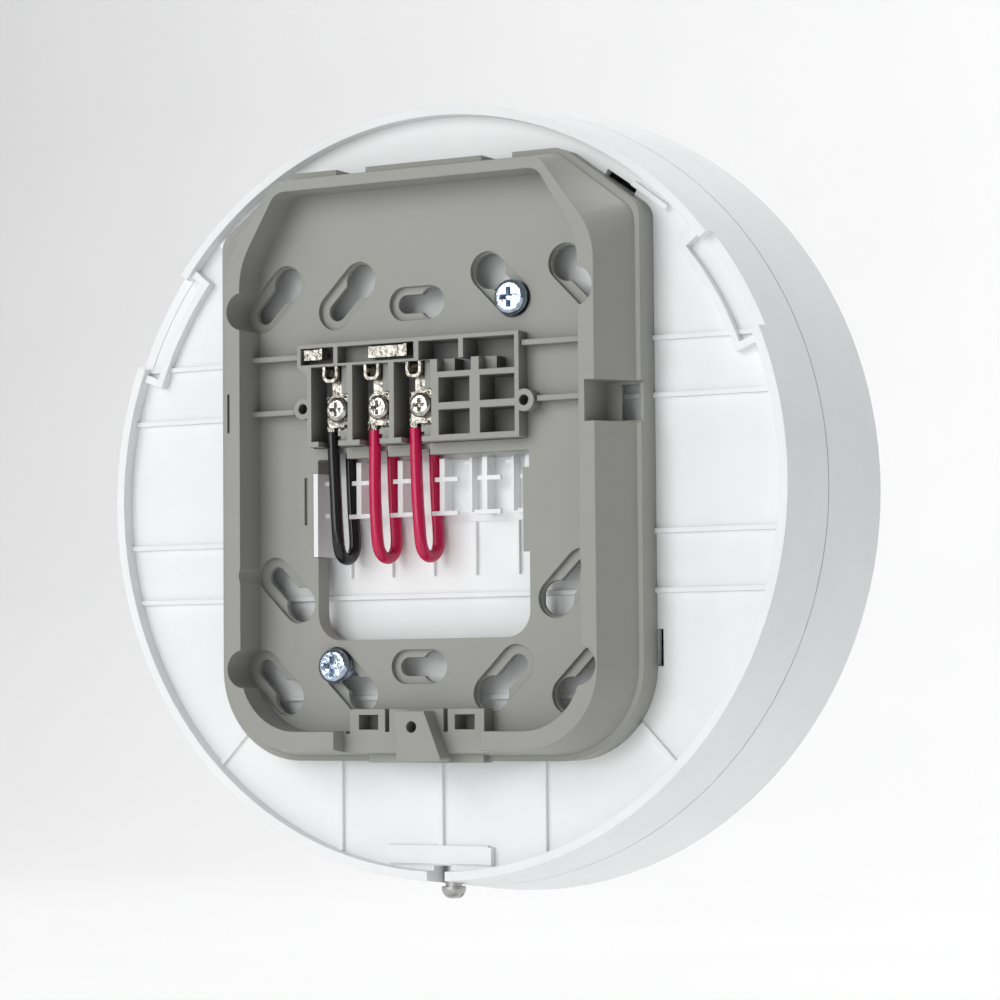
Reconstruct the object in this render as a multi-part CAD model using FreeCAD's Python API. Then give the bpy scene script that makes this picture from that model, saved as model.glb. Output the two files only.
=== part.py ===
import FreeCAD, Part
import math
import os

from FreeCAD import Vector

# A round wall-mounted detector seen from its wiring side.
# Frame: the wall plane is y = 0 and the case axis is the Y axis. +Y points into
# the room, +X is to the right of someone facing the wall side, +Z is up.
# All sizes are in millimetres.

# Case
rim_radius = 87.5            # outer radius of the case at its rear rim
front_radius = 91.9          # outer radius of the case at its front edge
rim_y = 12.5                 # rear rim
floor_y = 15.7               # rear face of the case floor
floor_thick = 2.2
front_y = 54.5               # front face
seam_y = 30.0                # joint line between rear housing and front cover
seam_gap = 0.4
wall = 2.2
rim_inner_radius = 85.4
rib_width = 1.1
rib_height = 0.9
rib_heights = (31.7, 19.1, -10.5, -23.5)

# Mounting plate
tray_half = 47.8             # half width of the rim that meets the wall
tray_inner_half = 43.9
tray_top = 71.7
tray_bottom = -58.0
skirt_half = 54.6
skirt_top = 74.6
skirt_bottom = -60.6
plate_y = 8.5                # floor of the tray
plate_thick = 2.5
ledge_y = 9.0                # ledge at the foot of the slanted wall
recess_depth = 1.2           # counterbore round each keyhole
keyhole_big_radius = 4.0
keyhole_slot_radius = 2.2
keyhole_recess_radius = 4.35
keyhole_reach = 6.5          # X and Z distance from slot end to large hole

# Small ends of the keyholes: inner four, outer four and the middle pair
inner_x = 23.3
inner_top_z = 41.95
inner_bottom_z = -39.15
outer_x = 43.1
outer_top_z = 42.4
outer_bottom_z = -39.6
middle_x = 39.9
middle_z = -18.4

# Terminals
terminal_count = 3
cell_count = 5
terminal_x = -20.6           # axis of the first terminal screw
terminal_z = 18.9
terminal_pitch = 11.0
cell_x = -27.4               # left face inside the first cell
block_top_y = 4.6
block_floor_y = 11.4
block_back_y = 12.5
strip_y = 8.7                # contact surface of the terminal strips
strip_thick = 0.8

# Leads
lead_radius = 1.38
conductor_radius = 0.65

# Screws
screw6_shank = 1.70
screw6_head = 2.80
screw8_shank = 2.05
screw8_head = 4.00
lock_shank = 1.90
lock_head = 2.75
run_fit = 0.05               # radial clearance of a turning or sliding shank
lock_y = 20.6

# Electronics
board_y = 24.0
board_thick = 1.6
board_radius = 62.0

# Sensor
sensor_hole_radius = 15.0
guard_radius = 19.0
guard_front_y = 66.0

Y_AXIS = Vector(0, 1, 0)
Z_AXIS = Vector(0, 0, 1)


def box(x0, x1, y0, y1, z0, z1):
    """Block between two opposite corners."""
    return Part.makeBox(x1 - x0, y1 - y0, z1 - z0, Vector(x0, y0, z0))


def rod(x, z, radius, y0, y1):
    """Round bar along Y."""
    return Part.makeCylinder(radius, y1 - y0, Vector(x, y0, z), Y_AXIS)


def ring(x, z, outer, inner, y0, y1):
    return rod(x, z, outer, y0, y1).cut(rod(x, z, inner, y0, y1))


def case_radius(y):
    """Outer radius of the case at depth y."""
    taper = (front_radius - rim_radius) / (front_y - rim_y)
    return rim_radius + (y - rim_y) * taper


def frustum(y0, y1, inset):
    """Slice of the case cone, taken in from the outside by inset."""
    return Part.makeCone(
        case_radius(y0) - inset, case_radius(y1) - inset, y1 - y0, Vector(0, y0, 0), Y_AXIS
    )


def rounded_outline(corners, radii, y):
    """Closed wire at depth y through (x, z) corners, each rounded by its radius."""
    points = [Vector(x, y, z) for x, z in corners]
    count = len(points)
    entries = []
    exits = []
    arcs = []
    for index in range(count):
        corner = points[index]
        to_last = (points[index - 1] - corner).normalize()
        to_next = (points[(index + 1) % count] - corner).normalize()
        turn = to_last.getAngle(to_next)
        radius = radii[index]
        if radius <= 0:
            entries.append(corner)
            exits.append(corner)
            arcs.append(None)
            continue
        setback = radius / math.tan(turn / 2)
        bisector = (to_last + to_next).normalize()
        middle = corner + bisector * (radius / math.sin(turn / 2) - radius)
        start = corner + to_last * setback
        end = corner + to_next * setback
        entries.append(start)
        exits.append(end)
        arcs.append(Part.Arc(start, middle, end).toShape())
    edges = []
    for index in range(count):
        if arcs[index]:
            edges.append(arcs[index])
        following = (index + 1) % count
        if (entries[following] - exits[index]).Length > 1e-6:
            edges.append(Part.LineSegment(exits[index], entries[following]).toShape())
    return Part.Wire(edges)


def prism(corners, radii, y0, y1):
    """Rounded outline carried along Y."""
    face = Part.Face(rounded_outline(corners, radii, y0))
    return face.extrude(Vector(0, y1 - y0, 0))


def stadium(x0, z0, x1, z1, radius, y0, y1):
    """Round-ended slot between two centres."""
    along = Vector(x1 - x0, 0, z1 - z0)
    length = along.Length
    along.normalize()
    side = Vector(-along.z, 0, along.x) * radius
    a = Vector(x0, y0, z0)
    b = Vector(x1, y0, z1)
    wire = Part.Wire([
        Part.LineSegment(a + side, b + side).toShape(),
        Part.Arc(b + side, b + along * radius, b - side).toShape(),
        Part.LineSegment(b - side, a - side).toShape(),
        Part.Arc(a - side, a - along * radius, a + side).toShape(),
    ])
    assert length > 0
    return Part.Face(wire).extrude(Vector(0, y1 - y0, 0))


def fuse_all(shapes):
    return shapes[0].multiFuse(shapes[1:]) if len(shapes) > 1 else shapes[0]


def cut_all(shape, tools):
    return shape.cut(fuse_all(tools))


def round_route(points, radii):
    """Straight runs joined by tangent arcs through hand-chosen points."""
    edges = []
    start = points[0]
    for index in range(1, len(points) - 1):
        corner = points[index]
        back = (points[index - 1] - corner).normalize()
        ahead = (points[index + 1] - corner).normalize()
        half = back.getAngle(ahead) / 2
        radius = radii[index - 1]
        setback = radius / math.tan(half)
        middle = corner + (back + ahead).normalize() * (radius / math.sin(half) - radius)
        arc_start = corner + back * setback
        arc_end = corner + ahead * setback
        edges.append(Part.LineSegment(start, arc_start).toShape())
        edges.append(Part.Arc(arc_start, middle, arc_end).toShape())
        start = arc_end
    edges.append(Part.LineSegment(start, points[-1]).toShape())
    return Part.Wire(edges)


def arc_radii(points):
    """Arc at each corner: 0.45 of the shorter run over the tangent of half the turn."""
    radii = []
    for index in range(1, len(points) - 1):
        before = points[index] - points[index - 1]
        after = points[index + 1] - points[index]
        turn = before.getAngle(after)
        radii.append(0.45 * min(before.Length, after.Length) / math.tan(turn / 2))
    return radii


def tube(points, radius, name):
    """Round lead along a route; prints its length and bends."""
    radii = arc_radii(points)
    path = round_route(points, radii)
    start_direction = (points[1] - points[0]).normalize()
    profile = Part.Wire([Part.Circle(points[0], start_direction, radius).toShape()])
    solid = path.makePipeShell([profile], True, False)
    expected = math.pi * radius ** 2 * path.Length
    print(name, "length %.1f" % path.Length, "volume ratio %.4f" % (solid.Volume / expected),
          "bend radii", " ".join("%.1f" % value for value in radii))
    return solid


def phillips(x, z, y0, depth, span):
    """Cross recess cut into a head whose top face is at y0."""
    blade = span * 0.26
    tools = [
        box(x - span / 2, x + span / 2, y0 - 0.1, y0 + depth, z - blade / 2, z + blade / 2),
        box(x - blade / 2, x + blade / 2, y0 - 0.1, y0 + depth, z - span / 2, z + span / 2),
    ]
    return fuse_all(tools)


def pan_screw(x, z, head_top, head_base, head_radius, shank_radius, tip):
    """Pan-head screw pointing along +Y with a cross recess in its head."""
    head = rod(x, z, head_radius, head_top, head_base)
    dome_edges = [edge for edge in head.Edges if abs(edge.BoundBox.YMax - head_top) < 1e-6]
    head = head.makeFillet(0.45 * (head_base - head_top), dome_edges[:1])
    shank = rod(x, z, shank_radius, head_base, tip)
    tip_edges = [edge for edge in shank.Edges if abs(edge.BoundBox.YMin - tip) < 1e-6]
    shank = shank.makeChamfer(0.4 * shank_radius, tip_edges[:1])
    screw = head.fuse(shank).removeSplitter()
    return screw.cut(phillips(x, z, head_top, 0.55 * (head_base - head_top), 1.1 * head_radius))


# Rear housing ---------------------------------------------------------------

def housing_ribs(width, height):
    """Low ribs across the rear face of the case floor."""
    y0 = floor_y - height
    ribs = []
    for z in rib_heights:
        half = math.sqrt(rim_inner_radius ** 2 - z ** 2)
        ribs.append(box(-half, half, y0, floor_y, z - width / 2, z + width / 2))
    ribs.append(box(-52.0, 52.0, y0, floor_y, -46.4 - width / 2, -46.4 + width / 2))
    for x in (-26.5, 0.0, 26.5):
        low = -math.sqrt(rim_inner_radius ** 2 - x ** 2)
        low = max(low, -79.6) if x == 0.0 else low
        ribs.append(box(x - width / 2, x + width / 2, y0, floor_y, low, -59.0))
    for side in (-1, 1):
        diagonal = box(73.0, rim_inner_radius, y0, floor_y, -width / 2, width / 2)
        diagonal.rotate(Vector(0, 0, 0), Y_AXIS, 46.0 if side == 1 else 134.0)
        ribs.append(diagonal)
    return fuse_all(ribs)


def sector(inner, outer, y0, y1, start_deg, end_deg):
    """Part of a ring between two angles measured from +X towards +Z."""
    start = math.radians(start_deg)
    end = math.radians(end_deg)
    middle = (start + end) / 2

    def at(radius, angle):
        return Vector(radius * math.cos(angle), y0, radius * math.sin(angle))

    wire = Part.Wire([
        Part.Arc(at(outer, start), at(outer, middle), at(outer, end)).toShape(),
        Part.LineSegment(at(outer, end), at(inner, end)).toShape(),
        Part.Arc(at(inner, end), at(inner, middle), at(inner, start)).toShape(),
        Part.LineSegment(at(inner, start), at(outer, start)).toShape(),
    ])
    return Part.Face(wire).extrude(Vector(0, y1 - y0, 0))


header_box = (-26.0, 3.4, 12.9, board_y, 12.6, 18.6)
standoffs = [(x, z) for x in (-40.0, 40.0) for z in (-38.0, 38.0)]
plate_screws = [(inner_x, inner_top_z), (-inner_x, inner_bottom_z)]


def make_rear_housing():
    floor_back = floor_y + floor_thick
    body = frustum(rim_y, seam_y - seam_gap / 2, 0)
    body = body.cut(rod(0, 0, rim_inner_radius, rim_y - 1, floor_y))
    body = body.cut(frustum(floor_back, seam_y + 1, wall))
    ribs = housing_ribs(rib_width, rib_height)
    free = [
        box(-33.0, 33.0, rim_y, floor_y, 10.0, 40.0),
        box(-30.0, 28.0, rim_y, floor_y, -15.0, 0.0),
    ]
    ribs = cut_all(ribs, free)
    added = [ribs]
    added.append(box(-13.9, 12.2, floor_y - 0.8, floor_y, -83.8, -79.6))
    added.append(box(12.2, 13.4, floor_y - 1.6, floor_y, -83.8, -79.9))
    # Two raised arcs behind the gaps in the rim, and lips beside the plate's top corners
    for start, end in ((20.0, 40.0), (140.0, 160.0)):
        added.append(sector(80.0, 81.6, floor_y - 2.2, floor_y, start, end))
        added.append(sector(81.6, rim_inner_radius, floor_y - 2.2, floor_y, start, start + 1.2))
        added.append(sector(81.6, rim_inner_radius, floor_y - 2.2, floor_y, end - 1.2, end))
    for side in (-1, 1):
        lip = prism(
            [(50.6 * side, 66.8), (59.0 * side, 60.4), (58.2 * side, 59.4), (49.9 * side, 65.7)],
            [0.3] * 4, floor_y - 1.6, floor_y,
        )
        added.append(lip)
    for x, z in standoffs:
        added.append(rod(x, z, 3.5, floor_back, board_y))
    for x, z in plate_screws:
        added.append(rod(x, z, 4.2, floor_back, board_y - 0.4))
    # Boss round the locking screw, behind the notch in the rim
    added.append(box(-6.0, 6.0, floor_back, lock_y + 5.0, -86.0, -69.0))
    body = body.fuse(fuse_all(added)).removeSplitter()
    removed = []
    for x, z in standoffs:
        removed.append(rod(x, z, 1.25, floor_back + 1.0, board_y + 1))
    for x, z in plate_screws:
        removed.append(rod(x, z, screw8_shank + run_fit, rim_y, board_y + 1))
    removed.append(box(-2.3, 2.3, rim_y - 1, lock_y + 2.4, -95.0, -84.2))
    removed.append(Part.makeCylinder(lock_shank + run_fit, 30.0, Vector(0, lock_y, -95.0), Z_AXIS))
    removed.append(box(-3.2, 3.2, lock_y - 3.0, lock_y + 3.2, -83.0, -77.8))
    # Gaps in the rim at the two raised arcs
    for start, end in ((22.0, 38.0), (142.0, 158.0)):
        removed.append(sector(rim_inner_radius - 0.6, 95.0, rim_y - 1, floor_y - 0.2, start, end))
    # Slots for the plate's snap hooks, open to the inside
    removed.append(box(54.5, 56.0, rim_y, floor_back + 1, -40.0, -31.9))
    removed.append(box(-56.0, -54.5, rim_y, floor_back + 1, -40.0, -31.9))
    for side in (-1, 1):
        slot = prism(
            [(43.6 * side, 70.0), (50.8 * side, 65.0), (50.0 * side, 63.7), (42.8 * side, 68.7)],
            [0.2] * 4, rim_y, floor_back + 1,
        )
        removed.append(slot)
    x0, x1, y0, y1, z0, z1 = header_box
    removed.append(box(x0 - 0.2, x1 + 0.2, rim_y, floor_back + 1, z0 - 0.2, z1 + 0.2))
    return cut_all(body, removed)


# Mounting plate -------------------------------------------------------------

keyholes = []
for keyhole_x, up_z, down_z in (
    (inner_x, inner_top_z, inner_bottom_z), (outer_x, outer_top_z, outer_bottom_z)
):
    for keyhole_side in (-1, 1):
        keyholes.append((keyhole_side * keyhole_x, up_z, -keyhole_side, 1))
        keyholes.append((keyhole_side * keyhole_x, down_z, -keyhole_side, -1))
for keyhole_side in (-1, 1):
    keyholes.append((keyhole_side * middle_x, middle_z, -keyhole_side, -1))
centre_slots = [(-4.9, 42.4), (-4.9, -39.5)]
centre_slot_reach = 7.0


def tray_outline(half, top, bottom, top_flat, shoulder, side_radius, low_radius, y):
    corners = [
        (-top_flat, top), (top_flat, top), (half, shoulder), (half, bottom),
        (-half, bottom), (-half, shoulder),
    ]
    radii = [4.0, 4.0, side_radius, low_radius, low_radius, side_radius]
    return rounded_outline(corners, radii, y)


def tray_solid(wire_data, y0, y1):
    face = Part.Face(tray_outline(*wire_data, y0))
    return face.extrude(Vector(0, y1 - y0, 0))


def keyhole_tools():
    tools = []
    ledge = plate_y + recess_depth
    bottom = plate_y + plate_thick + 1
    for x, z, dx, dz in keyholes:
        big_x = x + dx * keyhole_reach
        big_z = z + dz * keyhole_reach
        tools.append(stadium(x, z, big_x, big_z, keyhole_recess_radius, plate_y - 2, ledge))
        tools.append(stadium(x, z, big_x, big_z, keyhole_slot_radius, plate_y - 2, bottom))
        tools.append(rod(big_x, big_z, keyhole_big_radius, plate_y - 2, bottom))
    for x, z in centre_slots:
        big_x = x + centre_slot_reach
        tools.append(stadium(x, z, big_x - 0.3, z, 3.85, plate_y - 2, ledge))
        tools.append(stadium(x, z, big_x, z, 2.1, plate_y - 2, bottom))
        tools.append(rod(big_x, z, 3.6, plate_y - 2, bottom))
    return tools


block_x = (-31.2, 26.7)
block_z = (10.7, 34.2)
window_x = (-28.1, 27.0)
window_z = (-33.3, 8.0)


def make_mounting_plate():
    rim_data = (tray_half, tray_top, tray_bottom, 34.5, 53.5, 16.0, 18.0)
    foot_data = (53.4, skirt_top - 1.2, skirt_bottom + 1.2, 35.0, 59.5, 6.0, 20.0)
    skirt_data = (skirt_half, skirt_top, skirt_bottom, 35.0, 60.5, 5.0, 21.0)
    inner_data = (tray_inner_half, tray_top - 2.6, tray_bottom + 4.1, 34.0, 52.6, 18.0, 14.5)
    under_data = (skirt_half - 1.8, skirt_top - 1.8, skirt_bottom + 1.8, 34.4, 59.7, 4.0, 19.4)
    slant = Part.makeLoft(
        [tray_outline(*rim_data, 0), tray_outline(*foot_data, ledge_y)], True, True
    )
    skirt = tray_solid(skirt_data, ledge_y, floor_y)
    plate = slant.fuse(skirt)
    plate = plate.cut(tray_solid(inner_data, -1, plate_y))
    plate = plate.cut(tray_solid(under_data, plate_y + plate_thick, floor_y + 1))
    # Raised frame under the window and the terminal block opening
    frame = box(window_x[0] - 1.5, window_x[1] + 1.5, plate_y + plate_thick, 13.0,
                window_z[0] - 1.5, window_z[1])
    plate = plate.fuse(frame)
    # Fins standing on the tray floor beside the terminal block
    ribs = []
    for z, left_end, right_end in ((31.5, -31.4, 26.9), (19.0, -32.6, 30.7)):
        ribs.append(box(-44.4, left_end, plate_y - 3.0, plate_y, z - 0.6, z + 0.6))
        ribs.append(box(right_end, 41.1, plate_y - 3.0, plate_y, z - 0.6, z + 0.6))
    plate = plate.fuse(fuse_all(ribs))
    removed = keyhole_tools()
    # Pockets in the side walls beside the outer keyholes
    for x, z, dx, dz in keyholes:
        if abs(x) > inner_x:
            removed.append(rod(x, z, keyhole_recess_radius, -1, plate_y))
    window = prism(
        [(window_x[0], window_z[0]), (window_x[1], window_z[0]),
         (window_x[1], window_z[1]), (window_x[0], window_z[1])],
        [6.0, 6.0, 0.5, 0.5], plate_y - 1, 14.0,
    )
    removed.append(window)
    removed.append(box(-29.5, -27.0, plate_y - 1, 14.0, -14.3, 5.0))
    # Opening for the terminal block, with a notch below each wired terminal
    removed.append(box(block_x[0] + 1.9, block_x[1] - 0.5, plate_y - 1, 14.0,
                       block_z[0] - 0.1, block_z[1] - 0.5))
    for index in range(terminal_count):
        x = terminal_x + index * terminal_pitch
        removed.append(box(x - 4.8, x + 0.2, plate_y - 1, plate_y + 1.1, 7.0, 11.0))
        removed.append(box(x - 4.8, x + 0.2, plate_y - 1, 14.0, 7.0, 9.4))
    # Notches in the outer wall at the top, where the case's hooks pass
    for side in (-1, 1):
        x0, x1 = sorted((side * 15.2, side * 23.1))
        removed.append(box(x0, x1, 1.2, floor_y + 1, tray_top + 0.2, 80.0))
    # Side window in the right wall, and the narrow slot in the left one
    removed.append(box(45.4, 60.0, -1, 10.4, 12.9, 21.9))
    removed.append(box(49.2, 53.6, -1, floor_y + 1, 13.5, 21.3))
    removed.append(box(-47.3, -46.7, -1, 3.0, 14.5, 23.4))
    removed.append(box(-31.8, -31.0, plate_y - 1, plate_y + 0.7, -6.8, 4.0))
    # Lowered middle of the bottom wall with its pockets and slots
    removed.append(box(-19.0, 19.0, -1, 4.4, -70.0, -47.0))
    for side in (-1, 1):
        x0, x1 = sorted((side * 9.9, side * 15.0))
        removed.append(box(x0, x1, 4.0, 9.4, -53.5, -50.2))
        x0, x1 = sorted((side * 7.0, side * 8.1))
        removed.append(box(x0, x1, 3.0, 8.6, -54.0, -48.9))
        x0, x1 = sorted((side * 17.4, side * 18.5))
        removed.append(box(x0, x1, 3.0, 8.6, -54.4, -50.4))
    # The skirt is left out across the bottom, over the locking screw
    removed.append(box(-24.2, 24.2, 9.2, floor_y + 1, -62.0, -58.75))
    removed.append(housing_ribs(rib_width + 0.3, rib_height + 0.1))
    plate = cut_all(plate, removed)
    bottom_block = box(-17.4, 17.4, 4.4, plate_y, -57.6, -48.9)
    for side in (-1, 1):
        x0, x1 = sorted((side * 9.9, side * 15.0))
        bottom_block = bottom_block.cut(box(x0, x1, 4.0, 9.4, -53.5, -50.2))
        x0, x1 = sorted((side * 7.0, side * 8.1))
        bottom_block = bottom_block.cut(box(x0, x1, 3.0, 8.6, -54.0, -48.9))
    tab = prism([(-3.1, -49.4), (4.5, -49.4), (9.0, -60.6), (-2.6, -60.6)],
                [0.4, 0.4, 0.8, 0.8], 0.0, 4.6)
    lug = box(-13.9, 15.7, 7.0, 10.8, -60.9, -57.4)
    tongue = box(25.4, 27.4, plate_y, plate_y + 1.2, -14.4, 4.2)
    plate = plate.multiFuse([bottom_block, tab, lug, tongue]).removeSplitter()
    return plate.cut(rod(1.3, -52.9, 1.3, -1, plate_y))


# Terminal block and contacts -------------------------------------------------

def make_terminal_block():
    """Tray of thin-walled cells: three wired, two empty, in a frame with two fixing ears."""
    body = prism(
        [(-31.2, block_z[1]), (-31.2, 29.0), (-28.6, 27.4), (-28.6, block_z[0]),
         (block_x[1], block_z[0]), (block_x[1], block_z[1])],
        [0.4, 0.4, 0.4, 0.3, 0.3, 0.3], block_top_y, plate_y,
    )
    core = box(block_x[0] + 2.8, block_x[1] - 0.7, plate_y, block_back_y,
               block_z[0] + 0.1, block_z[1] - 0.7)
    ears = [
        rod(-29.7, 19.5, 2.4, block_top_y, plate_y),
        rod(27.9, 18.7, 2.5, block_top_y, plate_y),
    ]
    body = body.multiFuse([core] + ears).removeSplitter()
    top = block_top_y - 1
    floor = block_floor_y
    shelf = block_top_y + 1.2
    removed = [
        rod(-29.7, 19.5, 1.2, 0, plate_y),
        rod(27.9, 18.7, 1.2, 0, plate_y),
        box(-30.2, -21.4, top, plate_y - 0.4, 29.5, 33.3),
        box(-20.3, -0.2, top, plate_y - 0.4, 29.5, 33.3),
        # Empty cells, two rows and the L-shaped ones above them
        box(6.2, 14.2, top, floor, 12.0, 17.6),
        box(6.2, 14.2, top, floor, 19.2, 24.8),
        box(16.8, 25.6, top, floor, 12.0, 17.6),
        box(16.8, 25.6, top, floor, 19.2, 24.8),
        box(1.1, 11.4, top, floor, 29.0, 33.3),
        box(5.9, 14.6, top, floor, 26.1, 29.0),
        box(12.6, 25.6, top, floor, 29.0, 33.3),
        box(16.6, 25.6, top, floor, 26.1, 29.0),
    ]
    for index in range(terminal_count):
        x = terminal_x + index * terminal_pitch
        left = cell_x + index * terminal_pitch
        removed.append(box(left, left + 6.4, top, floor, 11.9, 28.9))
        removed.append(box(left + 6.2, left + 9.5, top, shelf, 11.9, 28.9))
        removed.append(box(x - 5.4, x + 2.95, top, strip_y + strip_thick, 14.2, 22.6))
        removed.append(box(x - 3.8, x + 0.6, top, strip_y + strip_thick, 22.4, 28.9))
        removed.append(box(x - 4.9, x + 0.4, top, block_back_y + 1, 10.0, 13.0))
        removed.append(rod(x, terminal_z, screw6_shank + run_fit + 0.03, top, 20.0))
    body = cut_all(body, removed)
    posts = [box(5.9, 8.8, 7.5, floor, 26.1, 29.2), box(16.6, 19.6, 7.5, floor, 26.1, 29.2)]
    return body.multiFuse(posts).removeSplitter()


def make_contact_strip(index):
    """Stamped strip: seat under the clamp, arm up the channel, sprung U clip on top."""
    x = terminal_x + index * terminal_pitch
    y0 = strip_y
    y1 = strip_y + strip_thick
    seat = box(x - 5.2, x + 2.6, y0, y1, 14.4, 22.4)
    arm = box(x - 3.6, x + 0.4, y0, y1, 22.0, 28.8)
    clip_x = x - 1.6
    clip = prism(
        [(clip_x - 2.0, 28.8), (clip_x - 2.0, 25.2), (clip_x + 2.0, 25.2), (clip_x + 2.0, 28.8)],
        [0.0, 1.5, 1.5, 0.0], 4.4, y1,
    )
    mouth = prism(
        [(clip_x - 1.3, 29.4), (clip_x - 1.3, 25.9), (clip_x + 1.3, 25.9), (clip_x + 1.3, 29.4)],
        [0.0, 1.0, 1.0, 0.0], 4.0, y0,
    )
    strip = seat.multiFuse([arm, clip.cut(mouth)]).removeSplitter()
    return strip.cut(rod(x, terminal_z, screw6_shank + run_fit + 0.02, 0, 20.0))


shorting_bars = ((-30.1, -24.0, 30.6, 33.0), (-12.6, -1.6, 30.3, 32.9))


def make_shorting_bar(index):
    """Sprung bar with an upturned tip in the block's upper row."""
    x0, x1, z0, z1 = shorting_bars[index]
    blade = box(x0, x1, 5.4, 6.4, z0, z1)
    tip = box(x1 - 0.8, x1, 3.9, 5.4, z0, z1)
    foot = box(x0, x0 + 1.0, 6.4, plate_y - 0.4, z0, z1)
    return blade.multiFuse([tip, foot]).removeSplitter()


def make_wire_clamp(index):
    """Rounded saddle clamp under the screw head, with a raised rib along each end."""
    x = terminal_x + index * terminal_pitch
    plate = prism([(x - 3.3, 14.9), (x + 2.6, 14.9), (x + 2.6, 22.1), (x - 3.3, 22.1)],
                  [1.2] * 4, 6.35, 7.3)
    ribs = [
        box(x - 2.1, x + 1.4, 5.7, 6.6, 14.9, 15.5),
        box(x - 2.1, x + 1.4, 5.7, 6.6, 21.75, 22.1),
    ]
    clamp = plate.multiFuse(ribs).removeSplitter()
    return clamp.cut(rod(x, terminal_z, screw6_shank + run_fit, 0, 20.0))


def make_terminal_screw(index):
    x = terminal_x + index * terminal_pitch
    return pan_screw(x, terminal_z, 4.0, 6.3, screw6_head, screw6_shank, 12.2)


# Leads -----------------------------------------------------------------------

lead_names = ("lead_black", "lead_red_left", "lead_red_right")
lead_fronts = ((-23.7, -22.5, -21.8), (-12.4, -12.0, -11.4), (-1.8, -0.95, -0.1))
lead_backs = (-22.5, -11.4, -0.3)


def lead_route(index):
    """Insulation route from below the clamp, round the loop and up to the header."""
    upper, middle, lower = lead_fronts[index]
    back = lead_backs[index]
    return [
        Vector(upper, 8.0, 14.0),
        Vector(upper + 0.3 * (middle - upper), 7.7, 8.0),
        Vector(middle, 7.0, 1.5),
        Vector((middle + lower) / 2, 6.9, -5.0),
        Vector(lower, 7.9, -12.6),
        Vector(back + 0.9, 11.3, -15.9),
        Vector(back + 1.1, 13.8, -11.6),
        Vector(back + 0.5, 13.85, -4.4),
        Vector(back + 0.2, 13.85, 3.0),
        Vector(back, 13.85, header_box[4] - 0.06),
    ]


def make_lead(index):
    route = lead_route(index)
    jacket = tube(route, lead_radius, lead_names[index])
    core_top = Vector(route[0].x, 8.0, 21.4)
    core = Part.makeCylinder(conductor_radius, core_top.z - route[0].z, route[0], Z_AXIS)
    return jacket.fuse(core).removeSplitter()


def make_lead_comb():
    """White comb on the case floor that keeps the lead loops apart."""
    base = box(-24.6, 24.9, floor_y - 0.4, floor_y, -7.0, 7.2)
    parts = [base]
    for index in range(cell_count):
        post_x = -19.0 + index * terminal_pitch
        parts.append(box(post_x - 0.65, post_x + 0.65, 11.5, floor_y, -5.6, 7.2))
        right = post_x + (4.0 if index < cell_count - 1 else 1.8)
        parts.append(box(post_x - 1.9, right, 11.5, 12.4, 2.0, 3.0))
        parts.append(box(post_x - 2.7, right, 11.5, 12.4, -5.6, -4.6))
        parts.append(box(post_x - 4.8, post_x - 4.2, floor_y - 0.9, floor_y, -19.0, -7.0))
    # Thin posts and small hooks in the two spare places
    for x in (9.9, 20.6):
        parts.append(box(x - 0.35, x + 0.35, 12.4, floor_y, -5.0, 7.2))
        parts.append(box(x - 1.75, x + 0.35, 12.4, 13.2, 5.6, 6.4))
    left_bar = box(-29.4, -28.2, plate_y, floor_y, -14.2, 4.9)
    stubs = [
        box(-28.2, -27.0, 11.6, 12.6, 2.2, 3.2),
        box(-28.2, -27.0, 11.6, 12.6, -5.2, -4.2),
        box(-28.2, -24.6, floor_y - 0.4, floor_y, -7.0, 4.9),
    ]
    return fuse_all(parts + [left_bar] + stubs).removeSplitter()


def make_lead_header():
    x0, x1, y0, y1, z0, z1 = header_box
    body = box(x0, x1, y0, y1, z0, z1)
    edges = [edge for edge in body.Edges if edge.BoundBox.YLength > 5]
    return body.makeFillet(0.8, edges)


# Fasteners -------------------------------------------------------------------

def make_plate_washer(index):
    x, z = plate_screws[index]
    return ring(x, z, 3.7, screw8_shank + run_fit, plate_y + 0.4, plate_y + 1.2)


def make_plate_screw(index):
    x, z = plate_screws[index]
    return pan_screw(x, z, plate_y - 2.3, plate_y + 0.35, screw8_head, screw8_shank, 22.4)


def make_lock_clip():
    """E-clip that keeps the locking screw captive in its boss."""
    disc = Part.makeCylinder(2.6, 0.8, Vector(0, lock_y, -78.9), Z_AXIS)
    hole = Part.makeCylinder(lock_shank + run_fit - 0.02, 2.0, Vector(0, lock_y, -79.5), Z_AXIS)
    mouth = box(-1.1, 1.1, lock_y, lock_y + 4.0, -79.5, -77.5)
    return disc.cut(hole).cut(mouth)


def make_locking_screw():
    """Round-headed screw standing up into the bottom of the case."""
    head_top = -89.1
    shank = Part.makeCylinder(lock_shank, 18.4, Vector(0, lock_y, head_top), Z_AXIS)
    tip_edges = [edge for edge in shank.Edges if edge.BoundBox.ZMin > head_top + 18.0]
    shank = shank.makeChamfer(0.7, tip_edges[:1])
    head = Part.makeCylinder(lock_head, 2.7, Vector(0, lock_y, head_top - 2.7), Z_AXIS)
    low_edges = [edge for edge in head.Edges if edge.BoundBox.ZMax < head_top - 2.6]
    head = head.makeFillet(2.2, low_edges[:1])
    screw = shank.fuse(head).removeSplitter()
    slot = box(-3.5, 3.5, lock_y - 0.4, lock_y + 0.4, head_top - 3.0, head_top - 1.6)
    return screw.cut(slot)


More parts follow.
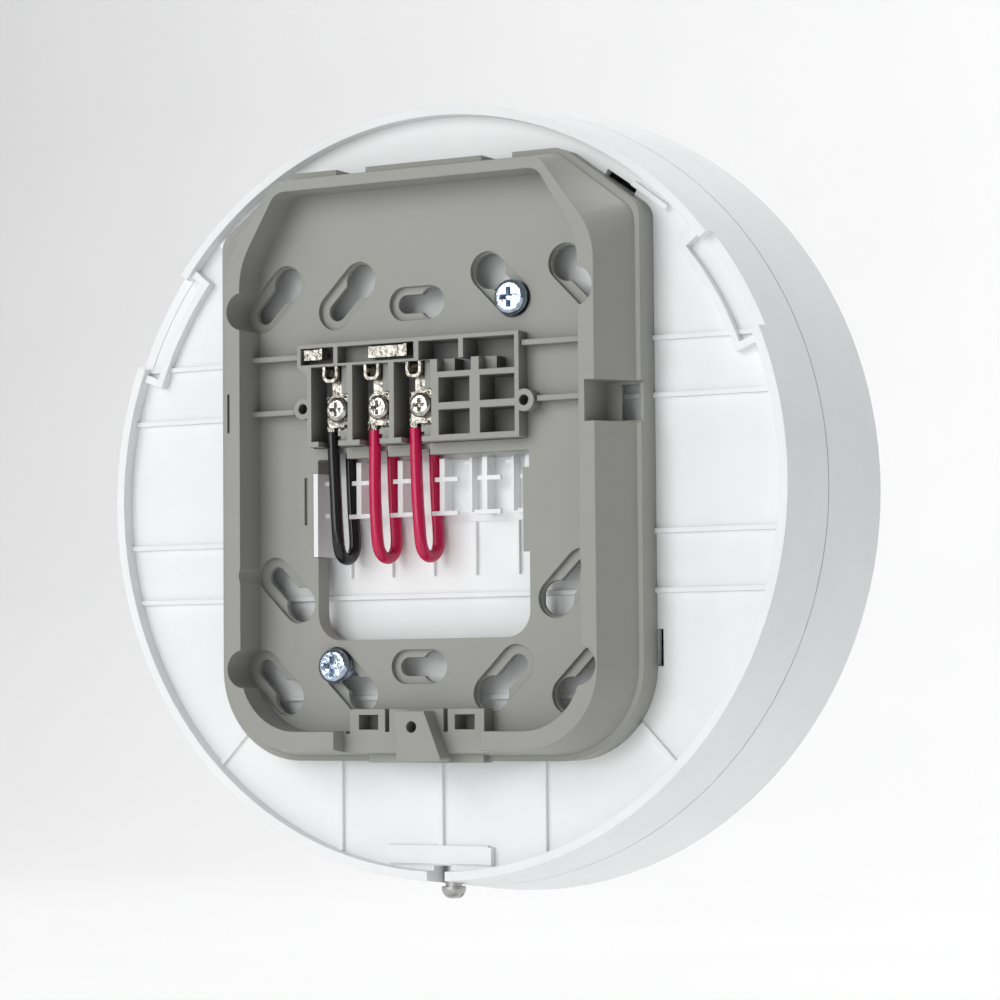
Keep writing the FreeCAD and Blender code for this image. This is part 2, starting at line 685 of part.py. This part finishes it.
def make_board_screws():
    screws = []
    for x, z in standoffs:
        head = rod(x, z, 2.7, board_y + board_thick, board_y + board_thick + 2.0)
        shank = rod(x, z, 1.2, board_y - 5.0, board_y + board_thick)
        top = board_y + board_thick + 2.0
        head = head.cut(box(x - 1.4, x + 1.4, top - 1.0, top + 1, z - 0.35, z + 0.35))
        head = head.cut(box(x - 0.35, x + 0.35, top - 1.0, top + 1, z - 1.4, z + 1.4))
        screws.append(head.fuse(shank).removeSplitter())
    return Part.makeCompound(screws)


# Electronics and sensor --------------------------------------------------------

board_back = board_y + board_thick


def make_circuit_board():
    board = rod(0, 0, board_radius, board_y, board_back)
    holes = [rod(x, z, 1.35, board_y - 1, board_back + 1) for x, z in standoffs]
    return cut_all(board, holes)


def make_relay():
    body = box(18.0, 37.0, board_back, board_back + 15.5, -12.0, 3.0)
    return body.makeFillet(0.8, body.Edges)


def make_capacitor():
    can = rod(-26.0, -22.0, 5.0, board_back, board_back + 12.0)
    return can.makeFillet(0.7, can.Edges)


def make_controller_chip():
    body = box(-34.0, -24.0, board_back + 0.1, board_back + 1.7, 22.0, 32.0)
    legs = []
    for step in range(7):
        z = 23.4 + step * 1.2
        for side in (-1, 1):
            x = -29.0 + side * 5.0
            legs.append(box(min(x, x + side * 1.2), max(x, x + side * 1.2),
                            board_back, board_back + 0.5, z - 0.25, z + 0.25))
    return body.multiFuse(legs).removeSplitter()


def make_terminal_pins():
    """Solder tails of the lead header on the front of the board."""
    pins = []
    for index in range(terminal_count):
        pins.append(rod(lead_backs[index], 15.6, 0.6, board_back, board_back + 1.8))
    return Part.makeCompound(pins)


def make_sensor_holder():
    """Insulating pillar that carries the thermistor through the front."""
    pillar = Part.makeCone(9.0, 6.0, front_y - board_back, Vector(0, board_back, 0), Y_AXIS)
    flange = rod(0, 0, 11.0, board_back, board_back + 1.6)
    return pillar.fuse(flange).removeSplitter()


def make_thermistor():
    """Glass bead on two stiff legs, standing out of the pillar."""
    bead = Part.makeSphere(1.6, Vector(0, front_y + 7.0, 0))
    legs = []
    for x in (-0.7, 0.7):
        legs.append(rod(x, 0, 0.3, front_y, front_y + 6.2))
    return bead.multiFuse(legs).removeSplitter()


def make_front_cover():
    shell = frustum(seam_y + seam_gap / 2, front_y, 0)
    edges = [edge for edge in shell.Edges
             if edge.BoundBox.YMin > front_y - 1e-6 and edge.BoundBox.XLength > 100]
    shell = shell.makeFillet(1.6, edges[:1])
    cavity = frustum(seam_y - 1, front_y - wall, wall)
    shell = shell.cut(cavity)
    tongue = frustum(seam_y - 4.0, seam_y + 2.0, wall + 0.15)
    tongue = tongue.cut(frustum(seam_y - 5.0, seam_y + 3.0, wall + 1.5))
    collar = frustum(seam_y + seam_gap / 2, seam_y + 2.0, wall - 0.1)
    collar = collar.cut(frustum(seam_y - 1.0, seam_y + 3.0, wall + 1.5))
    shell = shell.multiFuse([tongue, collar]).removeSplitter()
    holes = [rod(0, 0, sensor_hole_radius, front_y - 5, front_y + 1)]
    holes.append(rod(0, -34.0, 2.55, front_y - 5, front_y + 1))
    for index in range(24):
        slot = box(22.0, 25.0, front_y - 5, front_y + 1, -0.9, 0.9)
        slot.rotate(Vector(0, 0, 0), Y_AXIS, index * 15.0)
        holes.append(slot)
    return cut_all(shell, holes)


def make_sensor_guard():
    """Cage of bars round the thermistor, set in the front's opening."""
    base = ring(0, 0, guard_radius, 12.5, front_y, front_y + 1.6)
    skirt = ring(0, 0, sensor_hole_radius - 0.1, 12.5, front_y - 4.0, front_y + 0.5)
    cap = ring(0, 0, 7.5, 2.6, guard_front_y - 1.8, guard_front_y)
    parts = [base, skirt, cap]
    for index in range(8):
        bar = Part.makePolygon([
            Vector(16.8, front_y + 1.0, -0.9), Vector(13.0, front_y + 1.0, -0.9),
            Vector(6.2, guard_front_y - 1.6, -0.9), Vector(6.2, guard_front_y, -0.9),
            Vector(8.6, guard_front_y - 0.2, -0.9), Vector(16.8, front_y + 1.0, -0.9),
        ])
        blade = Part.Face(bar).extrude(Vector(0, 0, 1.8))
        blade.rotate(Vector(0, 0, 0), Y_AXIS, index * 45.0)
        parts.append(blade)
    return fuse_all(parts).removeSplitter()


def make_indicator_led():
    base = rod(0, -34.0, 1.9, board_back, board_back + 4.0)
    dome = Part.makeSphere(1.5, Vector(0, board_back + 4.0, -34.0))
    return base.fuse(dome).removeSplitter()


def make_light_pipe():
    pipe = rod(0, -34.0, 2.5, board_back + 6.0, front_y + 0.4)
    tip = [edge for edge in pipe.Edges if edge.BoundBox.YMin > front_y]
    return pipe.makeFillet(0.5, tip[:1])


# Nodes ---------------------------------------------------------------------------

nodes = {
    "rear_housing": make_rear_housing(),
    "front_cover": make_front_cover(),
    "mounting_plate": make_mounting_plate(),
    "terminal_block": make_terminal_block(),
    "shorting_bar_left": make_shorting_bar(0),
    "shorting_bar_right": make_shorting_bar(1),
    "lead_comb": make_lead_comb(),
    "lead_header": make_lead_header(),
    "header_pins": make_terminal_pins(),
    "lock_screw_clip": make_lock_clip(),
    "locking_screw": make_locking_screw(),
    "circuit_board": make_circuit_board(),
    "board_screws": make_board_screws(),
    "relay": make_relay(),
    "capacitor": make_capacitor(),
    "controller_chip": make_controller_chip(),
    "sensor_holder": make_sensor_holder(),
    "thermistor": make_thermistor(),
    "sensor_guard": make_sensor_guard(),
    "indicator_led": make_indicator_led(),
    "light_pipe": make_light_pipe(),
}
for index in range(terminal_count):
    number = index + 1
    nodes["contact_strip_%d" % number] = make_contact_strip(index)
    nodes["wire_clamp_%d" % number] = make_wire_clamp(index)
    nodes["terminal_screw_%d" % number] = make_terminal_screw(index)
    nodes[lead_names[index]] = make_lead(index)
for index, place in enumerate(("upper", "lower")):
    nodes["plate_washer_" + place] = make_plate_washer(index)
    nodes["plate_screw_" + place] = make_plate_screw(index)

os.makedirs("parts", exist_ok=True)
for name, shape in nodes.items():
    shape.exportStep("parts/" + name + ".step")
    print(name, "valid", shape.isValid(), "solids", len(shape.Solids), "volume %.1f" % shape.Volume)
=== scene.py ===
import math

import bmesh
import bpy
from mathutils import Matrix, Vector


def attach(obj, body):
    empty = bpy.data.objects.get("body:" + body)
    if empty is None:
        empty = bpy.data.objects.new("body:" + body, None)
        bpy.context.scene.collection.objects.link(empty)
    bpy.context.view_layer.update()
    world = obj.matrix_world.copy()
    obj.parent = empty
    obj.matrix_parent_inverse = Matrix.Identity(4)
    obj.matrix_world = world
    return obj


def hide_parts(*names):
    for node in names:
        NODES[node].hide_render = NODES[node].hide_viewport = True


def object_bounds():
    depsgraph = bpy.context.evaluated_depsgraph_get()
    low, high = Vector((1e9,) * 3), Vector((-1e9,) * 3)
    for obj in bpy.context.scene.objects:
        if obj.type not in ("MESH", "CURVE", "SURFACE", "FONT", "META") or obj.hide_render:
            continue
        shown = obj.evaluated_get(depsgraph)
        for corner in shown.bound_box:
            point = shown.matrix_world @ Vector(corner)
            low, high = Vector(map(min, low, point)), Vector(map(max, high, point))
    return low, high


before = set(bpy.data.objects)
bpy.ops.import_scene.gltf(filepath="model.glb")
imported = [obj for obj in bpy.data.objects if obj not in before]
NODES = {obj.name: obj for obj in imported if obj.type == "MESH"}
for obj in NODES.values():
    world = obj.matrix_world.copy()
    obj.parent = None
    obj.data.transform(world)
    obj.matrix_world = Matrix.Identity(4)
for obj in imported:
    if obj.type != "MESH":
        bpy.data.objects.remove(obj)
cad_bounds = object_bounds()


def link(obj):
    bpy.context.scene.collection.objects.link(obj)
    return obj


# Camera ------------------------------------------------------------------------

CAMERA_PLACE = Vector((0.3750, -0.6251, -0.0464))
CAMERA_TARGET = Vector((0.01731, 0.0125, -0.0026))
CAMERA_ROLL = math.radians(-0.4727)
CAMERA_LENS = 118.25        # on a 36 mm wide sensor
SENSOR_WIDTH = 36.0


def make_camera():
    """Camera at the photograph's angle: right of the case's axis, a little below it."""
    ahead = (CAMERA_TARGET - CAMERA_PLACE).normalized()
    right = ahead.cross(Vector((0, 0, 1))).normalized()
    up = right.cross(ahead)
    turned_right = right * math.cos(CAMERA_ROLL) + up * math.sin(CAMERA_ROLL)
    turned_up = up * math.cos(CAMERA_ROLL) - right * math.sin(CAMERA_ROLL)
    data = bpy.data.cameras.new("camera")
    data.sensor_width = SENSOR_WIDTH
    data.lens = CAMERA_LENS
    data.clip_start = 0.01
    data.clip_end = 50.0
    camera = link(bpy.data.objects.new("camera", data))
    axes = Matrix((turned_right, turned_up, -ahead)).transposed().to_4x4()
    camera.matrix_world = Matrix.Translation(CAMERA_PLACE) @ axes
    bpy.context.scene.camera = camera


# Materials ---------------------------------------------------------------------

class Nodes:
    """Small helper round a material's node tree."""

    def __init__(self, name):
        self.material = bpy.data.materials.new(name)
        self.material.use_nodes = True
        self.tree = self.material.node_tree
        self.shader = self.tree.nodes["Principled BSDF"]
        self.coords = self.tree.nodes.new("ShaderNodeTexCoord")

    def new(self, kind, **values):
        node = self.tree.nodes.new(kind)
        for key, value in values.items():
            setattr(node, key, value)
        return node

    def join(self, source, target):
        self.tree.links.new(source, target)

    def noise(self, scale, detail=3.0, roughness=0.5, stretch=(1, 1, 1)):
        mapping = self.new("ShaderNodeMapping")
        mapping.inputs["Scale"].default_value = stretch
        self.join(self.coords.outputs["Object"], mapping.inputs["Vector"])
        node = self.new("ShaderNodeTexNoise")
        node.inputs["Scale"].default_value = scale
        node.inputs["Detail"].default_value = detail
        node.inputs["Roughness"].default_value = roughness
        self.join(mapping.outputs["Vector"], node.inputs["Vector"])
        return node.outputs["Fac"]

    def ramp(self, source, stops):
        node = self.new("ShaderNodeValToRGB")
        elements = node.color_ramp.elements
        while len(elements) < len(stops):
            elements.new(0.5)
        for element, (position, color) in zip(elements, stops):
            element.position = position
            element.color = (*color, 1)
        self.join(source, node.inputs["Fac"])
        return node.outputs["Color"]

    def span(self, source, low, high):
        node = self.new("ShaderNodeMapRange")
        node.inputs["To Min"].default_value = low
        node.inputs["To Max"].default_value = high
        self.join(source, node.inputs["Value"])
        return node.outputs["Result"]

    def bump(self, source, strength, distance, below=None):
        """Bumped normal, laid over the normal below it where one is given."""
        node = self.new("ShaderNodeBump")
        node.inputs["Strength"].default_value = strength
        node.inputs["Distance"].default_value = distance
        self.join(source, node.inputs["Height"])
        if below is not None:
            self.join(below, node.inputs["Normal"])
        return node.outputs["Normal"]

    def painted_corner_shade(self, reach, tint, open_color):
        """Painted shade: the open colour, darkened towards the tint's share of it in narrow corners,
        where shade falls.
        """
        node = self.new("ShaderNodeAmbientOcclusion", samples=6)
        node.inputs["Distance"].default_value = reach
        shaded = self.ramp(node.outputs["AO"], [(0.0, shade((1, 1, 1), tint)), (0.75, (1, 1, 1))])
        mix = self.new("ShaderNodeMix", data_type="RGBA", blend_type="MULTIPLY")
        mix.inputs["Factor"].default_value = 1.0
        self.join(open_color, mix.inputs["A"])
        self.join(shaded, mix.inputs["B"])
        return mix.outputs["Result"]

    def soft_edges(self, radius):
        """Normal that looks as if edges were rounded to a radius."""
        node = self.new("ShaderNodeBevel", samples=6)
        node.inputs["Radius"].default_value = radius
        return node.outputs["Normal"]

    def finish(self, normal=None, **inputs):
        for key, value in inputs.items():
            socket = self.shader.inputs[key.replace("_", " ")]
            if isinstance(value, bpy.types.NodeSocket):
                self.join(value, socket)
            else:
                socket.default_value = value
        if normal is not None:
            self.join(normal, self.shader.inputs["Normal"])
        return self.material


def shade(color, factor):
    return tuple(channel * factor for channel in color)


FLOW_SCALE = 60.0           # of the mottling in moulded plastic
MOTTLE = 0.03               # how far that mottling darkens the colour
GRAIN_SCALE = 2600.0        # of the plastic's surface grain
# how far the painted shade in narrow corners reaches
PAINTED_SHADE_REACH = 0.008
TARNISH_SCALE = 900.0
DENT_SCALE = 620.0
DENT_DEPTH = 0.0004
DRAWN_SCALE = 3500.0        # of the marks that drawing leaves on metal
DRAWN_STRETCH = (1, 1, 0.15)
METAL_EDGE = 0.00008
FINE_DEPTH = 0.00002        # of the plastic's grain and the metal's drawn marks


def moulded(name, color, rough=(0.38, 0.5), edge=0.0002, shade_in_corners=1.0):
    """Moulded plastic: faint flow mottling, fine spark-eroded grain, softened edges, and painted shade
    in narrow corners where asked.
    """
    nodes = Nodes(name)
    flow = nodes.noise(FLOW_SCALE, 4.0, 0.55)
    pale = shade(color, 1 + MOTTLE * 0.5)
    tint = nodes.ramp(flow, [(0.3, shade(color, 1 - MOTTLE)), (0.7, pale)])
    # painted shade: the colour darkens in narrow corners and recesses, where shade falls
    if shade_in_corners < 1.0:
        tint = nodes.painted_corner_shade(PAINTED_SHADE_REACH, shade_in_corners, tint)
    polish = nodes.span(nodes.noise(FLOW_SCALE * 4, 2.0), *rough)
    fine = nodes.noise(GRAIN_SCALE, 2.0, 0.6)
    normal = nodes.bump(fine, 0.35, FINE_DEPTH, nodes.soft_edges(edge))
    return nodes.finish(normal, Base_Color=tint, Roughness=polish, IOR=1.47)


def plated(name, color, rough=(0.14, 0.3), stain=0.25, dents=0.25):
    """Plated metal: cloudy tarnish, drawn and hammered surface, softened edges."""
    nodes = Nodes(name)
    cloud = nodes.noise(TARNISH_SCALE, 5.0, 0.6)
    tint = nodes.ramp(cloud, [(0.32, shade(color, 1 - stain)), (0.58, color)])
    polish = nodes.span(nodes.noise(TARNISH_SCALE * 1.7, 3.0), *rough)
    marks = nodes.noise(DRAWN_SCALE, 2.0, 0.5, DRAWN_STRETCH)
    hammered = nodes.noise(DENT_SCALE, 2.0, 0.5)
    waves = nodes.bump(hammered, dents, DENT_DEPTH, nodes.soft_edges(METAL_EDGE))
    normal = nodes.bump(marks, 0.2, FINE_DEPTH, waves)
    return nodes.finish(normal, Base_Color=tint, Roughness=polish, Metallic=1.0)


def insulation(name, color, rough=(0.16, 0.26)):
    """Smooth glossy plastic or glass, faintly clouded, as on the leads' insulation."""
    nodes = Nodes(name)
    cloud = nodes.noise(160.0, 2.0, 0.5)
    tint = nodes.ramp(cloud, [(0.3, shade(color, 0.92)), (0.7, color)])
    polish = nodes.span(nodes.noise(400.0, 2.0), *rough)
    normal = nodes.bump(nodes.noise(260.0, 1.0), 0.12, 0.00005)
    return nodes.finish(normal, Base_Color=tint, Roughness=polish, IOR=1.5)


# Stage and lights ----------------------------------------------------------------

FLOOR_DROP = 0.07           # from the case's lowest point down to the floor
FLOOR_HALF = 4.0
FLOOR_FRONT = -3.0
FLOOR_BACK = 1.2
COVE_RADIUS = 1.0           # of the bend from floor to backdrop
COVE_STEPS = 12
BACKDROP_HEIGHT = 4.5
WORLD_STRENGTH = 0.19


def make_stage():
    """Pale floor that curves up into a pale backdrop well behind the case."""
    low = cad_bounds[0][2] - FLOOR_DROP
    profile = [(FLOOR_FRONT, low), (FLOOR_BACK, low)]
    for step in range(1, COVE_STEPS + 1):
        angle = math.pi / 2 * step / COVE_STEPS
        y = FLOOR_BACK + COVE_RADIUS * math.sin(angle)
        profile.append((y, low + COVE_RADIUS * (1 - math.cos(angle))))
    profile.append((FLOOR_BACK + COVE_RADIUS, low + BACKDROP_HEIGHT))
    verts = []
    for y, z in profile:
        verts.append((-FLOOR_HALF, y, z))
        verts.append((FLOOR_HALF, y, z))
    faces = [(2 * i, 2 * i + 1, 2 * i + 3, 2 * i + 2) for i in range(len(profile) - 1)]
    mesh = bpy.data.meshes.new("floor")
    mesh.from_pydata(verts, [], faces)
    mesh.update()
    for polygon in mesh.polygons:
        polygon.use_smooth = True
    floor = link(bpy.data.objects.new("floor", mesh))
    nodes = Nodes("floor_pale")
    tint = nodes.ramp(nodes.noise(3.0), [(0.3, (0.93, 0.93, 0.93)), (0.7, (0.96, 0.96, 0.96))])
    floor.data.materials.append(nodes.finish(Base_Color=tint, Roughness=0.9))


def area_light(name, place, aim, size, power, color=(1, 1, 1)):
    data = bpy.data.lights.new(name, "AREA")
    data.shape = "RECTANGLE"
    data.size = size[0]
    data.size_y = size[1]
    data.energy = power
    data.color = color
    light = link(bpy.data.objects.new(name, data))
    light.location = place
    light.rotation_euler = (Vector(aim) - Vector(place)).to_track_quat("-Z", "Y").to_euler()


def make_lights():
    """Large soft key from the upper left, weaker lights round it, a lit backdrop."""
    area_light("key", (-0.5, -1.5, 0.55), (0, 0, 0), (1.2, 1.2), 14.0)
    area_light("fill", (1.6, -0.9, 0.3), (0, 0, 0), (1.2, 1.2), 0.4, (0.88, 0.94, 1.0))
    area_light("low", (0.2, -1.3, -0.15), (0, 0.1, 0), (1.0, 0.3), 1.5)
    area_light("strip", (-1.1, -0.8, 0.1), (0, 0, 0), (0.12, 1.1), 1.4)
    area_light("backdrop_light", (0.0, 0.4, 2.2), (0, 1.8, 0.3), (3.0, 1.0), 50.0)
    world = bpy.data.worlds.new("studio")
    world.use_nodes = True
    shader = world.node_tree.nodes["Background"]
    shader.inputs["Color"].default_value = (1.0, 1.0, 1.0, 1)
    shader.inputs["Strength"].default_value = WORLD_STRENGTH
    bpy.context.scene.world = world
    bpy.context.scene.view_settings.view_transform = "Standard"


# Materials on the CAD nodes ------------------------------------------------------

def dress(node, material):
    obj = NODES[node]
    obj.data.materials.clear()
    obj.data.materials.append(material)


WHITE = (0.90, 0.912, 0.92)
GREY = (0.325, 0.328, 0.302)


def dress_cad():
    """Give every CAD node its material; returns the material of each node."""
    white = moulded("case_white", WHITE)
    white_small = moulded("comb_white", WHITE, edge=0.0001)
    # the plate and the terminal block get painted shade in their corners and cells
    grey = moulded("plate_grey", GREY, edge=0.00025, shade_in_corners=0.72)
    block = moulded("block_grey", GREY, edge=0.00015, shade_in_corners=0.30)
    nickel = plated("contact_nickel", (0.40, 0.38, 0.34), (0.10, 0.30), stain=0.65, dents=0.7)
    screw = plated("screw_nickel", (0.56, 0.54, 0.50), (0.06, 0.18), stain=0.55, dents=0.6)
    zinc = plated("screw_zinc", (0.46, 0.54, 0.66), (0.08, 0.2), stain=0.4, dents=0.5)
    looks = {
        "rear_housing": white, "front_cover": white, "sensor_guard": white,
        "sensor_holder": white, "lead_comb": white_small, "lead_header": white_small,
        "mounting_plate": grey, "terminal_block": block,
        "shorting_bar_left": nickel, "shorting_bar_right": nickel,
        "locking_screw": plated("lock_screw", (0.50, 0.50, 0.49), (0.3, 0.42), stain=0.2, dents=0.1),
        "lock_screw_clip": zinc, "board_screws": zinc,
        "plate_screw_upper": zinc, "plate_screw_lower": zinc,
        "plate_washer_upper": zinc, "plate_washer_lower": zinc,
        "header_pins": plated("pin_brass", (0.82, 0.68, 0.38)),
        "circuit_board": moulded("board_green", (0.02, 0.12, 0.05), (0.25, 0.4)),
        "relay": moulded("relay_black", (0.02, 0.02, 0.022), (0.3, 0.45)),
        "capacitor": plated("capacitor_can", (0.7, 0.71, 0.73), (0.25, 0.4)),
        "controller_chip": moulded("chip_black", (0.015, 0.015, 0.015), (0.4, 0.6)),
        "thermistor": insulation("thermistor_glass", (0.10, 0.06, 0.04), (0.05, 0.12)),
        "indicator_led": insulation("led_red", (0.55, 0.02, 0.02), (0.05, 0.12)),
        "light_pipe": insulation("light_pipe_clear", (0.75, 0.78, 0.78), (0.1, 0.2)),
        "lead_black": insulation("lead_black", (0.009, 0.009, 0.010), (0.1, 0.18)),
    }
    red = insulation("lead_red", (0.56, 0.004, 0.075))
    for side in ("left", "right"):
        looks["lead_red_" + side] = red
    for index in (1, 2, 3):
        looks["contact_strip_%d" % index] = nickel
        looks["wire_clamp_%d" % index] = nickel
        looks["terminal_screw_%d" % index] = screw
    for node, material in looks.items():
        dress(node, material)
    return looks


# Leads ----------------------------------------------------------------------------
# Lengths in this section are in millimetres, in the part's own frame.

MM = 0.001
LEAD_RADIUS = 1.38
LEAD_SIDES = 32

# each lead's node, its X at the clamp, halfway down and at the loop, and its X at the header
LEADS = (
    ("lead_black", (-23.7, -22.5, -21.8), -22.5),
    ("lead_red_left", (-12.4, -12.0, -11.4), -11.4),
    ("lead_red_right", (-1.8, -0.95, -0.1), -0.3),
)
BACK_RUN_Y = 13.85
HEADER_Z = 12.54
LOOP_CENTRE = (10.4, -11.0)   # middle of the loop's round end, as (y, z)
LOOP_REACH = (3.6, 4.1)       # of the points round that end, along y and z
LOOP_MEETS_RUNS = 3.45        # reach along y of the first and last of them
LOOP_POINTS = 6
LOOP_SPREAD = 1.1             # how far the loop's back lies beside the header's X
NEAREST_POINTS = 0.02         # path points nearer than this are dropped

STRANDS = 7                   # six round a middle one
STRAND_RADIUS = 0.21
STRAND_RING = 0.42
STRAND_SIDES = 10
STRAND_STEPS = 24
STRAND_START = -1.0           # inside the insulation's end
STRAND_LENGTH = 8.2
STRAND_TWIST = math.pi


def lead_points(upper, middle, lower, back):
    """Points that guide one lead: down from the clamp, round the loop, up to the header."""
    loop_back = back + LOOP_SPREAD
    points = [
        (upper, 8.0, 14.0), (upper + 0.3 * (middle - upper), 7.7, 8.0), (middle, 7.0, 1.5),
        ((middle + lower) / 2, 6.85, -4.5),
    ]
    for step in range(LOOP_POINTS):
        share = step / (LOOP_POINTS - 1)
        angle = math.pi * (1 + share)
        x = lower + (loop_back - lower) * (1 - math.cos(math.pi * share)) / 2
        reach_y = LOOP_MEETS_RUNS if step in (0, LOOP_POINTS - 1) else LOOP_REACH[0]
        points.append((x, LOOP_CENTRE[0] + reach_y * math.cos(angle),
                       LOOP_CENTRE[1] + LOOP_REACH[1] * math.sin(angle)))
    points += [
        (back + 0.5, BACK_RUN_Y, -4.4), (back + 0.2, BACK_RUN_Y, 3.0), (back, BACK_RUN_Y, HEADER_Z),
    ]
    return [Vector(point) for point in points]


def smooth_path(points, steps=14):
    """Cubic B-spline guided by the points: it ends on the outer two and passes near the rest."""
    held = [points[0]] * 2 + points + [points[-1]] * 2
    path = []
    for index in range(len(held) - 3):
        p0, p1, p2, p3 = held[index:index + 4]
        for step in range(steps):
            t = step / steps
            path.append((
                p0 * (1 - t) ** 3 + p1 * (3 * t ** 3 - 6 * t ** 2 + 4)
                + p2 * (-3 * t ** 3 + 3 * t ** 2 + 3 * t + 1) + p3 * t ** 3
            ) / 6)
    path.append(points[-1].copy())
    kept = [path[0]]
    for point in path[1:]:
        if (point - kept[-1]).length > NEAREST_POINTS:
            kept.append(point)
    return kept


def add_tube(bm, path, radius, sides):
    """Closed round tube along a path of millimetre points."""
    count = len(path)
    tangents = []
    for index in range(count):
        ahead = path[min(index + 1, count - 1)] - path[max(index - 1, 0)]
        tangents.append(ahead.normalized())
    normal = tangents[0].orthogonal().normalized()
    loops = []
    for index in range(count):
        normal = (normal - tangents[index] * normal.dot(tangents[index])).normalized()
        binormal = tangents[index].cross(normal)
        loop = []
        for side in range(sides):
            angle = 2 * math.pi * side / sides
            offset = normal * math.cos(angle) + binormal * math.sin(angle)
            loop.append(bm.verts.new((path[index] + offset * radius) * MM))
        loops.append(loop)
    for first, second in zip(loops, loops[1:]):
        for side in range(sides):
            turn = (side + 1) % sides
            face = bm.faces.new((first[side], first[turn], second[turn], second[side]))
            face.smooth = True
    bm.faces.new(list(reversed(loops[0])))
    bm.faces.new(loops[-1])


def piece_from(bm, name, material, body="case"):
    """Turn a bmesh into a dressed piece riding on one body."""
    bmesh.ops.recalc_face_normals(bm, faces=bm.faces[:])
    mesh = bpy.data.meshes.new(name)
    bm.to_mesh(mesh)
    bm.free()
    obj = link(bpy.data.objects.new(name, mesh))
    obj.data.materials.append(material)
    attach(obj, body)
    return obj


def strand_path(end, strand):
    """Path of one bare strand, twisting up from the insulation's end."""
    path = []
    for step in range(STRAND_STEPS + 1):
        share = step / STRAND_STEPS
        angle = STRAND_TWIST * share + strand * 2 * math.pi / (STRANDS - 1)
        reach = 0.0 if strand == STRANDS - 1 else STRAND_RING
        offset = (reach * math.cos(angle), reach * math.sin(angle), STRAND_START + STRAND_LENGTH * share)
        path.append(end + Vector(offset))
    return path


def make_leads(looks):
    """Smooth insulated leads with a twist of bare strands going under each clamp."""
    tinned = plated("strand_tin", (0.74, 0.70, 0.64), (0.2, 0.36))
    for node, (upper, middle, lower), back in LEADS:
        points = lead_points(upper, middle, lower, back)
        bm = bmesh.new()
        add_tube(bm, smooth_path(points), LEAD_RADIUS, LEAD_SIDES)
        jacket = piece_from(bm, node + "_jacket", looks[node])
        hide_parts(node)
        bm = bmesh.new()
        for strand in range(STRANDS):
            add_tube(bm, strand_path(points[0], strand), STRAND_RADIUS, STRAND_SIDES)
        piece_from(bm, node + "_strands", tinned)


make_camera()
make_stage()
make_lights()
make_leads(dress_cad())
